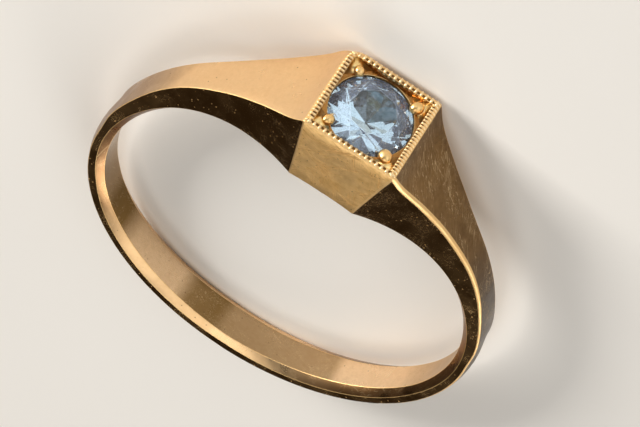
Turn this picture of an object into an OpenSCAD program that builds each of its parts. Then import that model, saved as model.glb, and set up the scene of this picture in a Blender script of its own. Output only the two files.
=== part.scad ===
// Spinel ring: a gold band with a square head, a milled border and one round brilliant held by four grains.
// The ring frame has X along the band across the head, Y from the finger hole's centre to the stone, Z along the finger.
// laid() then turns that frame a few degrees, so that the ring rests on its side as it would on a table.

/* [Finger hole] */
// Diameter of the finger hole
finger_d = 17.5; // [16:0.25:19]

/* [Band] */
// Width of the band at the back
back_w = 2.1; // [1.9:0.05:2.4]
// Width of the band where the shoulders are narrowest
neck_w = 1.4; // [1.3:0.05:1.8]
// Thickness of the band at the crown of its rounded outside
band_t = 0.85; // [0.8:0.01:1]
// Extra thickness at the back
back_extra = 0.15; // [0.05:0.05:0.25]
// Height of the rounded outside over the band's half width
crown_rise = 0.3; // [0.25:0.05:0.4]
// Size of the worn bevel along the edges of the finger hole
bevel = 0.33; // [0.2:0.01:0.35]

/* [Head] */
// Length of the head along the band
head_l = 4.3; // [4.1:0.05:4.6]
// Width of the head across the band
head_w = 4.3; // [4.1:0.05:4.6]
// Height of the border over the finger hole
head_h = 4.12; // [3.9:0.02:4.5]
// Half angle at which the hollow sweeps start, seen from the finger hole's centre
sweep_angle = 11.2; // [11:0.1:12]
// Radius of the hollow sweep from the head's side face to the neck
sweep_r = 18.5; // [17:0.5:20]
// Distance along the band over which the hollow sweep runs
sweep_l = 7.2; // [7:0.1:7.4]

/* [Border] */
// Width of the raised border
border_w = 0.28; // [0.26:0.01:0.3]
// Depth of the recess inside the border
recess_d = 0.32; // [0.25:0.01:0.4]
// Diameter of a milled bead
bead_d = 0.23; // [0.2:0.01:0.25]
// Spacing of the milled beads
bead_pitch = 0.25; // [0.24:0.002:0.3]
// Diameter of a grain that holds the stone
grain_d = 0.52; // [0.45:0.01:0.55]

/* [Stone] */
// Diameter of the stone
stone_d = 3.64; // [3.5:0.02:3.66]
// Width of the table as a share of the diameter
table_share = 0.6; // [0.53:0.01:0.62]
// Height of the crown
crown_h = 0.46; // [0.42:0.01:0.48]
// Slope of the main pavilion facets
pavilion_angle = 41; // [40:0.5:42]
// Clearance between the stone and the metal
stone_gap = 0.03; // [0.02:0.01:0.05]

/* [Hidden] */
$fn = 72;
SLACK = 1;                       // overlap of cutting tools past the surface they cut
OVERLAP = 0.001;                 // overlap of two cutting tools side by side
finger_r = finger_d / 2;
table_y = finger_r + head_h;     // height of the bead tops over the finger hole's centre
band_r = finger_r + band_t;      // crown radius of the band
band_y = -back_extra;            // the outside sits a little off centre, so the back is thicker
crown_r = (pow(back_w / 2, 2) + pow(crown_rise, 2)) / (2 * crown_rise);

// The neck: where the sweep meets the flat side of the band, which then widens evenly to the back.
neck_y = 5;
split_y = 3;                     // the sweep cuts above this height, the flat side cut below it
flare = atan((back_w - neck_w) / 2 / (neck_y + band_r + back_extra));

// Upper outline of a shoulder: columns are the polar angle from the head and the height over the finger hole.
SHOULDER = [
    [13, 3.47],
    [20, 2.75],
    [30, 2.09],
    [45, 1.53],
    [60, 1.09],
    [78, 0.80],
    [96, 0.45],
];
STEPS = 4;                       // outline points made between two rows

// Border and recess
bead_rise = 0.07;                // height of the bead tops over the plain strip of the border
strip_y = table_y - bead_rise;
bead_inset = 0.15;               // from the head's edge to the bead centres
floor_y = strip_y - recess_d;

// The bevel is cut with four cones the size of the finger hole, each moved off its axis at one of these polar angles,
// so it is full at the back and the sides of the band and fades out under the head.
BEVEL_TURNS = [-145, -80, 80, 145];

// Stone and seat, measured along the stone's axis
table_drop = 0.04;               // the stone's table lies this far under the bead tops
girdle_h = 0.07;
girdle_y = table_y - table_drop - crown_h;
stone_r = stone_d / 2;
seat_r = stone_r + stone_gap;
light_r = 1.25;                  // radius of the hole behind the stone
main_angle = atan(crown_h / (stone_r * (1 - table_share)));
upper_angle = main_angle + 8;
star_angle = main_angle - 13;
lower_angle = pavilion_angle + 1.2;
star_inset = 0.03;               // the table's corners lie this far inside the tips of the main facets
culet_cut = 0.05;                // height by which the stone's point is blunted
facet_turn = 11.25;              // turn of the stone's facets in its seat
MAINS = 8;
grain_away = stone_r + 0.21;     // from the stone's axis to a grain's centre
grain_y = table_y - 0.28;

// Resting attitude: the ring lies on the lower edge of the head's side and on the back of the band.
// Each foot has its distance along Y and its half width; corner_angle is where the head's side face ends.
corner_angle = atan(head_l / 2 / strip_y);
head_foot = [(finger_r + bevel_depth(corner_angle)) * cos(corner_angle), head_w / 2];
back_foot = [band_y + crown_rise - band_r, back_w / 2 - crown_rise * tan(flare)];
lean = atan((head_foot[1] - back_foot[1]) / (head_foot[0] - back_foot[0]));
rest_z = head_foot[1] * cos(lean) - head_foot[0] * sin(lean);
rest_y = (table_y - band_r - back_extra) / 2 * cos(lean);

function polar(angle, r) = [r * sin(angle), r * cos(angle)];

function blend(a, b, c, d, t) =
    0.5 * (2 * b + (c - a) * t + (2 * a - 5 * b + 4 * c - d) * t * t + (3 * b - a - 3 * c + d) * t * t * t);

// How far the bevel widens the finger hole at a polar angle.
function bevel_depth(angle) = bevel * max([for (turn = BEVEL_TURNS) cos(angle - turn)]);

// Outline points of one shoulder, from the head's edge down to the band.
function shoulder_points() =
    let (
        rows = concat([[head_l / 2, strip_y]], [for (row = SHOULDER) polar(row[0], finger_r + row[1])]),
        last = len(rows) - 1
    )
    concat(
        [for (i = [0 : last - 1], k = [0 : STEPS - 1])
            blend(rows[max(i - 1, 0)], rows[i], rows[i + 1], rows[min(i + 2, last)], k / STEPS)],
        [rows[last]]
    );

// Places a tool built round the Z axis on the stone's axis, Z then pointing out of the head.
module on_head(y) {
    translate([0, y, 0]) rotate([-90, 0, 0]) children();
}

module both_sides() {
    children();
    mirror([0, 0, 1]) children();
}

module left_and_right() {
    children();
    mirror([1, 0, 0]) children();
}

// Head and shoulders as one plate with the shoulders' outline, as thick as the head is wide.
module head_plate() {
    right = shoulder_points();
    left = [for (i = [len(right) - 1 : -1 : 0]) [-right[i][0], right[i][1]]];
    translate([0, 0, -head_w / 2]) linear_extrude(head_w) polygon(concat(right, [[0, 0]], left));
}

// The band's rounded outside, one full turn.
module band_hoop() {
    translate([0, band_y, 0]) rotate_extrude($fn = 180) translate([band_r - crown_r, 0]) circle(crown_r);
}

// What is cut away beside one shoulder: a hollow sweep that runs out in the band's flat side.
module sweep_cut() {
    reach = 16;
    depth = head_w;
    intersection() {
        rotate([0, 0, -sweep_angle]) union() {
            intersection() {
                translate([sweep_l, -neck_y, sweep_r]) rotate([-90, 0, 0]) cylinder(h = reach + neck_y, r = sweep_r, $fn = 180);
                translate([-sweep_l / 2, -neck_y, 0]) cube([sweep_l * 1.5, reach + neck_y, depth]);
            }
            translate([sweep_l - OVERLAP, -neck_y, 0]) cube([reach, reach + neck_y, depth]);
        }
        translate([-reach / 2, split_y, -SLACK]) cube([2 * reach, 2 * reach, depth + 2 * SLACK]);
    }
}

// All that is cut away on the upper side of the ring, in the plane of the band's flaring side.
module side_cut() {
    reach = 30;
    translate([0, neck_y, neck_w / 2]) rotate([-flare, 0, 0]) translate([0, -neck_y, 0]) {
        left_and_right() sweep_cut();
        translate([-reach / 2, split_y - reach, 0]) cube([reach, reach, head_w]);
        for (turn = BEVEL_TURNS) translate(concat(polar(turn, bevel), [0])) bevel_cone();
    }
}

module bevel_cone() {
    tip = 2 * bevel;
    rotate_extrude($fn = 180)
        polygon([[0, -tip], [finger_r - tip, -tip], [finger_r, 0], [finger_r, head_w], [0, head_w]]);
}

// Recess, round seat and the hole behind the stone.
module stone_seat() {
    cone_top = girdle_y - girdle_h - 2 * stone_gap;
    cone_h = (seat_r - light_r) * tan(pavilion_angle);
    translate([border_w - head_l / 2, floor_y, border_w - head_w / 2])
        cube([head_l - 2 * border_w, recess_d + SLACK, head_w - 2 * border_w]);
    low = finger_r - SLACK;
    high = table_y + SLACK;
    on_head(0) rotate_extrude($fn = 96)
        polygon([[0, low], [light_r, low], [light_r, cone_top - cone_h], [seat_r, cone_top], [seat_r, high], [0, high]]);
}

// A row of milled beads centred on the X axis, without the two at the corners.
module bead_row(length) {
    count = floor(length / bead_pitch);
    step = length / count;
    for (i = [1 : count - 1]) translate([i * step - length / 2, 0, 0]) sphere(d = bead_d, $fn = 16);
}

module milled_border() {
    half_l = head_l / 2 - bead_inset;
    half_w = head_w / 2 - bead_inset;
    translate([0, table_y - bead_d / 2, 0]) {
        both_sides() translate([0, 0, half_w]) bead_row(2 * half_l);
        left_and_right() translate([half_l, 0, 0]) rotate([0, 90, 0]) bead_row(2 * half_w);
    }
}

module grains() {
    turn = atan((head_w / 2 - border_w) / (head_l / 2 - border_w));
    both_sides() left_and_right()
        translate([grain_away * cos(turn), grain_y, grain_away * sin(turn)]) sphere(d = grain_d, $fn = 24);
}

module ring_shape() {
    difference() {
        union() {
            band_hoop();
            head_plate();
        }
        both_sides() side_cut();
        translate([0, 0, -head_w]) cylinder(h = 2 * head_w, r = finger_r, $fn = 180);
        stone_seat();
    }
    milled_border();
    grains();
}

// A bar that runs right through the stone. Its section leaves two opposite facets of the crown and two of the pavilion:
// columns of a row are the turn, the crown planes' height over the girdle at the stone's axis and their slope, then the
// pavilion planes' depth at the axis and their slope. A bar with star facets lies clear of the pavilion.
module facet_bar(row) {
    half = (row[1] + row[3]) / (tan(row[2]) + tan(row[4]));
    side = row[1] - half * tan(row[2]);
    rotate([90, 0, row[0]]) linear_extrude(4 * stone_r, center = true)
        polygon([[0, row[1]], [half, side], [0, -row[3]], [-half, side]]);
}

// Rows for facet_bar whose planes all pass through the girdle.
function girdle_row(turn, crown, pavilion) =
    [turn, stone_r * tan(crown), crown, girdle_h + stone_r * tan(pavilion), pavilion];

function facet_rows() =
    let (
        step = 360 / MAINS,
        star_away = (stone_r * table_share - star_inset) * cos(step / 2),
        star_top = crown_h + star_away * tan(star_angle)
    )
    concat(
        [for (i = [0 : MAINS / 2 - 1]) girdle_row(i * step, main_angle, pavilion_angle)],
        [for (i = [0 : MAINS / 2 - 1]) [(i + 0.5) * step, star_top, star_angle, stone_d, star_angle]],
        [for (i = [0 : MAINS - 1]) girdle_row((i + 0.5) * step / 2, upper_angle, lower_angle)]
    );

module brilliant() {
    depth = girdle_h + stone_r * tan(pavilion_angle) - culet_cut;
    rows = facet_rows();
    intersection_for(i = [-1 : len(rows) - 1])
        if (i < 0) translate([0, 0, -depth]) cylinder(h = depth + crown_h, r = stone_r, $fn = 96);
        else facet_bar(rows[i]);
}

// Turns the ring frame so that the ring rests on the plane Z = 0, its box centred over the origin.
module laid() {
    translate([0, -rest_y, rest_z]) rotate([lean, 0, 0]) children();
}

module ring_body() {
    color("goldenrod") laid() ring_shape();
}

module spinel() {
    color("lightsteelblue") laid() on_head(girdle_y) rotate([0, 0, facet_turn]) brilliant();
}

ring_body();
spinel();
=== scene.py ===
"""Spinel ring: a gold band with a square milled head and one round brilliant, lying on a pale floor.

Lengths are millimetres in the ring's own frame until a piece is finished, and metres in the row's
frame after that. The ring's own frame has X along the band across the head, Y from the finger hole's
centre to the stone and Z along the finger. LAID turns it to the attitude in which the ring rests.
"""

import logging
import math
from dataclasses import dataclass
from enum import Enum
from typing import Callable, Iterable, Optional, Sequence, Union

import bmesh
import bpy
from mathutils import Matrix, Vector


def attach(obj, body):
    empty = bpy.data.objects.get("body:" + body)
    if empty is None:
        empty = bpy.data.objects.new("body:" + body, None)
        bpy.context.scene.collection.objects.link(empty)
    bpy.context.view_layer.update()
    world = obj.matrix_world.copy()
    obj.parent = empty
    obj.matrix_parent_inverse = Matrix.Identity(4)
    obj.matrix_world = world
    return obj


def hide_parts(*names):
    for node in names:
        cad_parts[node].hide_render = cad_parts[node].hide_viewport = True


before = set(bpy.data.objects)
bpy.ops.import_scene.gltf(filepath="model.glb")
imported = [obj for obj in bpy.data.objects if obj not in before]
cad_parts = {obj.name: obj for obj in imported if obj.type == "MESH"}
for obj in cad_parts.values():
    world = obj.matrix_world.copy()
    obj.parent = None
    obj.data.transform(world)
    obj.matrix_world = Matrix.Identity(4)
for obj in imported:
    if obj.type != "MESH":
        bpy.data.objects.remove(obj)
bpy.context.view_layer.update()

LOG = logging.getLogger("spinel_ring")
MM = 0.001
FULL_TURN = 360.0
# Millimetres by which two places may miss each other and still be one.
HAIR = 1e-3
SLIVER = 1e-4

Colour = tuple[float, float, float]
Rgba = tuple[float, float, float, float]
Key = Union[str, int]
Materials = Sequence[bpy.types.Material]


@dataclass(frozen=True)
class RingSizes:
    """Driving sizes of the ring, in millimetres and degrees, the same as the solids have."""

    finger_d: float = 17.5
    back_w: float = 2.1
    neck_w: float = 1.4
    band_t: float = 0.85
    back_extra: float = 0.15
    crown_rise: float = 0.3
    bevel: float = 0.33
    head_l: float = 4.3
    head_w: float = 4.3
    head_h: float = 4.12
    sweep_angle: float = 11.2
    sweep_r: float = 18.5
    sweep_l: float = 7.2
    border_w: float = 0.28
    recess_d: float = 0.32
    bead_rise: float = 0.07
    stone_d: float = 3.64
    crown_h: float = 0.46
    girdle_h: float = 0.07
    table_drop: float = 0.04
    pavilion_angle: float = 41.0
    stone_gap: float = 0.03
    light_r: float = 1.25
    neck_y: float = 5.0
    split_y: float = 3.0
    shoulder: tuple[tuple[float, float], ...] = (
        (13, 3.47), (20, 2.75), (30, 2.09), (45, 1.53), (60, 1.09), (78, 0.80), (96, 0.45)
    )
    bevel_turns: tuple[float, ...] = (-145, -80, 80, 145)

    @property
    def finger_r(self) -> float:
        """Radius of the finger hole."""
        return self.finger_d / 2

    @property
    def table_y(self) -> float:
        """Height of the bead tops over the finger hole's centre."""
        return self.finger_r + self.head_h

    @property
    def strip_y(self) -> float:
        """Height of the border's plain strip."""
        return self.table_y - self.bead_rise

    @property
    def floor_y(self) -> float:
        """Height of the recess floor."""
        return self.strip_y - self.recess_d

    @property
    def girdle_y(self) -> float:
        """Height of the stone's girdle."""
        return self.table_y - self.table_drop - self.crown_h

    @property
    def seat_r(self) -> float:
        """Radius of the stone's seat."""
        return self.stone_d / 2 + self.stone_gap

    @property
    def recess_half(self) -> float:
        """Half length of the square recess."""
        return self.head_l / 2 - self.border_w

    @property
    def band_r(self) -> float:
        """Crown radius of the band's rounded outside."""
        return self.finger_r + self.band_t

    @property
    def crown_r(self) -> float:
        """Radius of the rounded section of the band's outside."""
        return ((self.back_w / 2) ** 2 + self.crown_rise**2) / (2 * self.crown_rise)

    @property
    def flare(self) -> float:
        """Angle at which the band's flat side widens to the back, in radians."""
        run = self.neck_y + self.band_r + self.back_extra
        return math.atan((self.back_w - self.neck_w) / 2 / run)

    @property
    def corner(self) -> float:
        """Polar angle of the head's corner, in radians."""
        return math.atan2(self.head_l / 2, self.strip_y)

    def bevel_depth(self, angle: float) -> float:
        """How far the bevel widens the finger hole.

        Args:
            angle: Polar angle from the head, in radians.

        Returns:
            The widening in millimetres, never below zero.
        """
        lean = max(math.cos(angle - math.radians(turn)) for turn in self.bevel_turns)
        return max(0.0, self.bevel * lean)

    def half_width(self, x: float, y: float) -> float:
        """Half the ring's width where its side lies over a point of its middle plane.

        Args:
            x: Distance along the band from the middle of the head.
            y: Height over the finger hole's centre.

        Returns:
            Half the width in millimetres.
        """
        flare, turn = self.flare, math.radians(self.sweep_angle)
        rise = 0.0
        for _ in range(3):
            along = self.neck_y + (y - self.neck_y - rise * math.sin(flare)) / math.cos(flare)
            away = abs(x) * math.cos(turn) - along * math.sin(turn)
            short = max(0.0, self.sweep_l - away) if along > self.split_y else 0.0
            if short >= self.sweep_r:
                return self.head_w / 2
            rise = self.sweep_r - math.sqrt(self.sweep_r**2 - short**2)
        half = self.neck_w / 2 - (along - self.neck_y) * math.sin(flare) + rise * math.cos(flare)
        return min(half, self.head_w / 2)

    def crown_reach(self, angle: float, across: float) -> float:
        """Distance of the band's rounded outside from the finger hole's centre.

        Args:
            angle: Polar angle from the head, in radians.
            across: Distance from the ring's middle plane.

        Returns:
            The distance in millimetres.
        """
        across = min(abs(across), self.back_w / 2)
        ring = self.band_r - self.crown_r + math.sqrt(self.crown_r**2 - across**2)
        aside = self.back_extra * math.sin(angle)
        return -self.back_extra * math.cos(angle) + math.sqrt(ring**2 - aside**2)

    def shoulder_points(self, steps: int) -> list[tuple[float, float]]:
        """The shoulder's outline as a smooth curve through the rows of the shoulder table.

        Args:
            steps: Points for each row.

        Returns:
            Pairs of polar angle in radians and distance from the finger hole's centre.
        """
        rows = [Vector((self.head_l / 2, self.strip_y))]
        for degrees, height in self.shoulder:
            angle, reach = math.radians(degrees), self.finger_r + height
            rows.append(Vector((reach * math.sin(angle), reach * math.cos(angle))))
        last = len(rows) - 1
        points = []
        for i in range(last):
            a, b, c, d = rows[max(i - 1, 0)], rows[i], rows[i + 1], rows[min(i + 2, last)]
            bend, twist = 2 * a - 5 * b + 4 * c - d, 3 * b - a - 3 * c + d
            for k in range(steps):
                t = k / steps
                p = (2 * b + (c - a) * t + bend * t**2 + twist * t**3) / 2
                points.append((math.atan2(p.x, p.y), p.length))
        points.append((math.atan2(rows[last].x, rows[last].y), rows[last].length))
        return points

    def laid(self) -> Matrix:
        """The move from the ring's own frame to the attitude in which it rests.

        Returns:
            The move in millimetres, which lays the head's edge and the band's back on the floor.
        """
        bore = self.finger_r + self.bevel_depth(self.corner)
        head = Vector((bore * math.cos(self.corner), self.head_w / 2))
        outside = self.crown_rise - self.back_extra - self.band_r
        back = Vector((outside, self.back_w / 2 - self.crown_rise * math.tan(self.flare)))
        lean = math.atan((head.y - back.y) / (head.x - back.x))
        rest_z = head.y * math.cos(lean) - head.x * math.sin(lean)
        rest_y = (self.table_y - self.band_r - self.back_extra) / 2 * math.cos(lean)
        return Matrix.Translation((0, -rest_y, rest_z)) @ Matrix.Rotation(lean, 4, "X")


SIZES = RingSizes()
LAID = SIZES.laid()
ON_HEAD = Matrix.Rotation(math.radians(-90), 4, "X")


class Socket:
    """An output of a shader node with arithmetic: an expression on sockets adds its Math nodes."""

    def __init__(self, graph: "Graph", node: bpy.types.Node, result: Key) -> None:
        """Wraps the output of that name or number of a node in graph."""
        self.graph, self.node, self.result = graph, node, result

    @property
    def out(self) -> bpy.types.NodeSocket:
        """The wrapped output."""
        return self.node.outputs[self.result]

    def beside(self, result: Key) -> "Socket":
        """Another output of the same node."""
        return Socket(self.graph, self.node, result)

    def _math(self, operation: str, *values: "Value") -> "Socket":
        """Adds one Math node on values and returns its result."""
        return self.graph.node("ShaderNodeMath", {"operation": operation}, dict(enumerate(values)))

    def __add__(self, other: "Value") -> "Socket":
        """self + other."""
        return self._math("ADD", self, other)

    __radd__ = __add__

    def __sub__(self, other: "Value") -> "Socket":
        """self - other."""
        return self._math("SUBTRACT", self, other)

    def __rsub__(self, other: "Value") -> "Socket":
        """other - self."""
        return self._math("SUBTRACT", other, self)

    def __mul__(self, other: "Value") -> "Socket":
        """self * other."""
        return self._math("MULTIPLY", self, other)

    __rmul__ = __mul__

    def __truediv__(self, other: "Value") -> "Socket":
        """self / other."""
        return self._math("DIVIDE", self, other)

    def __rtruediv__(self, other: "Value") -> "Socket":
        """other / self."""
        return self._math("DIVIDE", other, self)

    def absolute(self) -> "Socket":
        """The size of self without its sign."""
        return self._math("ABSOLUTE", self)

    def at_most(self, other: "Value") -> "Socket":
        """The smaller of self and other."""
        return self._math("MINIMUM", self, other)

    def at_least(self, other: "Value") -> "Socket":
        """The larger of self and other."""
        return self._math("MAXIMUM", self, other)

    def turn_to(self, other: "Value") -> "Socket":
        """The angle in radians of the point that has other along and self across."""
        return self._math("ARCTAN2", self, other)

    def ramp(self, low: float, high: float, start: float = 0.0, end: float = 1.0) -> "Socket":
        """A smooth step from start at low to end at high.

        Args:
            low: Value of self at which the step starts.
            high: Value of self at which it ends.
            start: Result below low.
            end: Result above high.

        Returns:
            The stepped value.
        """
        return self.graph.node(
            "ShaderNodeMapRange",
            {"interpolation_type": "SMOOTHSTEP", "clamp": True},
            {"Value": self, "From Min": low, "From Max": high, "To Min": start, "To Max": end},
        )


Value = Union[Socket, float, int]


class Graph:
    """The node tree of one material, filled through a single method."""

    def __init__(self, name: str) -> None:
        """Makes an empty material.

        Args:
            name: Name of the material.
        """
        self.material = bpy.data.materials.new(name)
        self.material.use_nodes = True
        self.tree = self.material.node_tree
        self.tree.nodes.clear()

    def node(
        self,
        kind: str,
        settings: Optional[dict[str, object]] = None,
        inputs: Optional[dict[Key, object]] = None,
        result: Key = 0,
    ) -> Socket:
        """Adds a node.

        Args:
            kind: The node's type name.
            settings: Properties of the node and the "stops" of a ramp, set before its sockets.
            inputs: Values or links of its input sockets, by name or number.
            result: Output to return, by name or number.

        Returns:
            The output, wrapped.
        """
        made = self.tree.nodes.new(kind)
        for name, value in (settings or {}).items():
            if name == "stops":
                set_stops(made.color_ramp, value)
            else:
                setattr(made, name, value)
        for name, value in (inputs or {}).items():
            if isinstance(value, Socket):
                self.tree.links.new(value.out, made.inputs[name])
            else:
                made.inputs[name].default_value = value
        return Socket(self, made, result)

    def object_place(self) -> Socket:
        """Object coordinates in metres."""
        return self.node("ShaderNodeTexCoord", result="Object")

    def ring_millimetres(self, along: Colour = (1, 0, 0), scale: Sequence[float] = (1, 1, 1)) -> Socket:
        """Object coordinates in millimetres, turned and stretched for a pattern.

        Args:
            along: Direction in the ring's own frame that becomes the pattern's X axis.
            scale: Factor along each turned axis: a small one draws the pattern out along it.

        Returns:
            The coordinates.
        """
        place = self.object_place()
        direction = (LAID.to_3x3() @ Vector(along)).normalized()
        turn = direction.rotation_difference(Vector((1, 0, 0))).to_euler()
        turned = {"Vector": place, "Rotation": turn, "Scale": (1 / MM,) * 3}
        whole = self.node("ShaderNodeMapping", inputs=turned)
        return self.node("ShaderNodeMapping", inputs={"Vector": whole, "Scale": scale})

    def noise(self, place: Socket, scale: float, detail: float = 2.0, roughness: float = 0.5) -> Socket:
        """A noise with its middle at 0.5.

        Args:
            place: Coordinates in millimetres.
            scale: Clouds per millimetre.
            detail: Octaves of finer noise on it.
            roughness: Strength of each octave to the one before.

        Returns:
            The noise.
        """
        inputs = {"Vector": place, "Scale": scale, "Detail": detail, "Roughness": roughness}
        return self.node("ShaderNodeTexNoise", {"noise_dimensions": "3D"}, inputs, "Fac")

    def specks(self, place: Socket, scale: float, size: float, share: float) -> Socket:
        """Sparse round specks.

        Args:
            place: Coordinates in millimetres.
            scale: Cells per millimetre.
            size: Radius of a speck as a share of a cell.
            share: Share of the cells that hold one.

        Returns:
            One inside a speck and nought outside.
        """
        inputs = {"Vector": place, "Scale": scale}
        cells = self.node("ShaderNodeTexVoronoi", inputs=inputs, result="Distance")
        core, sure = 0.6, 0.9
        near = cells.ramp(size * core, size, 1.0, 0.0)
        pick = self.node("ShaderNodeSeparateColor", inputs={"Color": cells.beside("Color")})
        return near * pick.ramp(share * sure, share, 1.0, 0.0)

    def scratches(self, along: Colour, pitch: float, thin: float) -> Socket:
        """Long thin scratches in one direction.

        Args:
            along: Their direction in the ring's own frame.
            pitch: Scratch bands per millimetre across.
            thin: Half width of a scratch in noise units.

        Returns:
            One on a scratch and nought beside it.
        """
        line_draw, patch_draw, patch_pitch = 0.3, 0.7, 1.7
        place = self.ring_millimetres(along, (line_draw, pitch, pitch))
        line = (self.noise(place, 1.0, 1.0) - 0.5).absolute().ramp(0.0, thin, 1.0, 0.0)
        patches = self.ring_millimetres(along, (patch_draw, patch_pitch, patch_pitch))
        return line * self.noise(patches, 1.0, 0.0).ramp(0.5, 0.6)

    def painted_shade(self, rows: Sequence["Tarnish"], wobble: Socket) -> Socket:
        """Shade and light painted by the turn round the band.

        Args:
            rows: Painted shade at some turns, in the order of their turn.
            wobble: Degrees by which a row's turn shifts from point to point.

        Returns:
            The tone, with the share as its node's Alpha.
        """
        back = (Matrix.Scale(MM, 4) @ LAID).inverted()
        inputs = {"Vector": self.object_place(), "Location": back.translation}
        inputs.update({"Rotation": back.to_euler(), "Scale": (1 / MM,) * 3})
        place = self.node("ShaderNodeMapping", inputs=inputs)
        across = self.node("ShaderNodeSeparateXYZ", inputs={"Vector": place}, result="X")
        turn = across.turn_to(0 - across.beside("Y"))
        share = (turn * math.degrees(1) + wobble) / FULL_TURN + 0.5
        stops = [(row.turn / FULL_TURN + 0.5, (*row.tone, row.share)) for row in rows]
        return self.node("ShaderNodeValToRGB", {"stops": stops}, {"Fac": share}, "Color")

    def mix(self, share: Value, first: Union[Socket, Rgba], second: Union[Socket, Rgba]) -> Socket:
        """A colour between two.

        Args:
            share: Share of the second colour.
            first: The colour at nought.
            second: The colour at one.

        Returns:
            The colour.
        """
        factor_slot, first_slot, second_slot, colour_out = 0, 6, 7, 2
        inputs = {factor_slot: share, first_slot: first, second_slot: second}
        return self.node("ShaderNodeMix", {"data_type": "RGBA"}, inputs, colour_out)

    def output(self, shader: Socket) -> bpy.types.Material:
        """Links the shader to the material's surface and returns the material."""
        self.node("ShaderNodeOutputMaterial", inputs={"Surface": shader})
        return self.material


def set_stops(ramp: bpy.types.ColorRamp, stops: Sequence[tuple[float, Rgba]]) -> None:
    """Gives a new colour ramp its stops.

    Args:
        ramp: The ramp.
        stops: Place and colour of each stop, in the order of their places.
    """
    ramp.elements.remove(ramp.elements[-1])
    for i, (place, colour) in enumerate(stops):
        stop = ramp.elements.new(place) if i else ramp.elements[0]
        stop.position = place
        stop.color = colour


def rgba(colour: Colour) -> Rgba:
    """The colour with full alpha."""
    return (*colour, 1.0)


# Tones of painted shade, laid round the band by turn: they darken the gold where it reflects dark
# surroundings, and BACK_GOLD gives the back a middle gold between the lit and the shaded side.
LEFT_SHADE_BROWN = (0.19, 0.095, 0.045)
OLIVE_BROWN = (0.17, 0.09, 0.012)
BEVEL_BROWN = (0.17, 0.075, 0.022)
SHADE_BROWN = (0.04, 0.022, 0.010)
BACK_GOLD = (0.46, 0.275, 0.115)


@dataclass(frozen=True)
class Tarnish:
    """Share and tone of the painted shade at a turn round the band, 0 at the back and negative on the left.
    """

    turn: float
    share: float
    tone: Colour


def painted_shades(tone: Colour, *rows: tuple[float, float]) -> tuple[Tarnish, ...]:
    """Painted shade of one tone, from the turn and the share of each row."""
    return tuple(Tarnish(turn, share, tone) for turn, share in rows)


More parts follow.
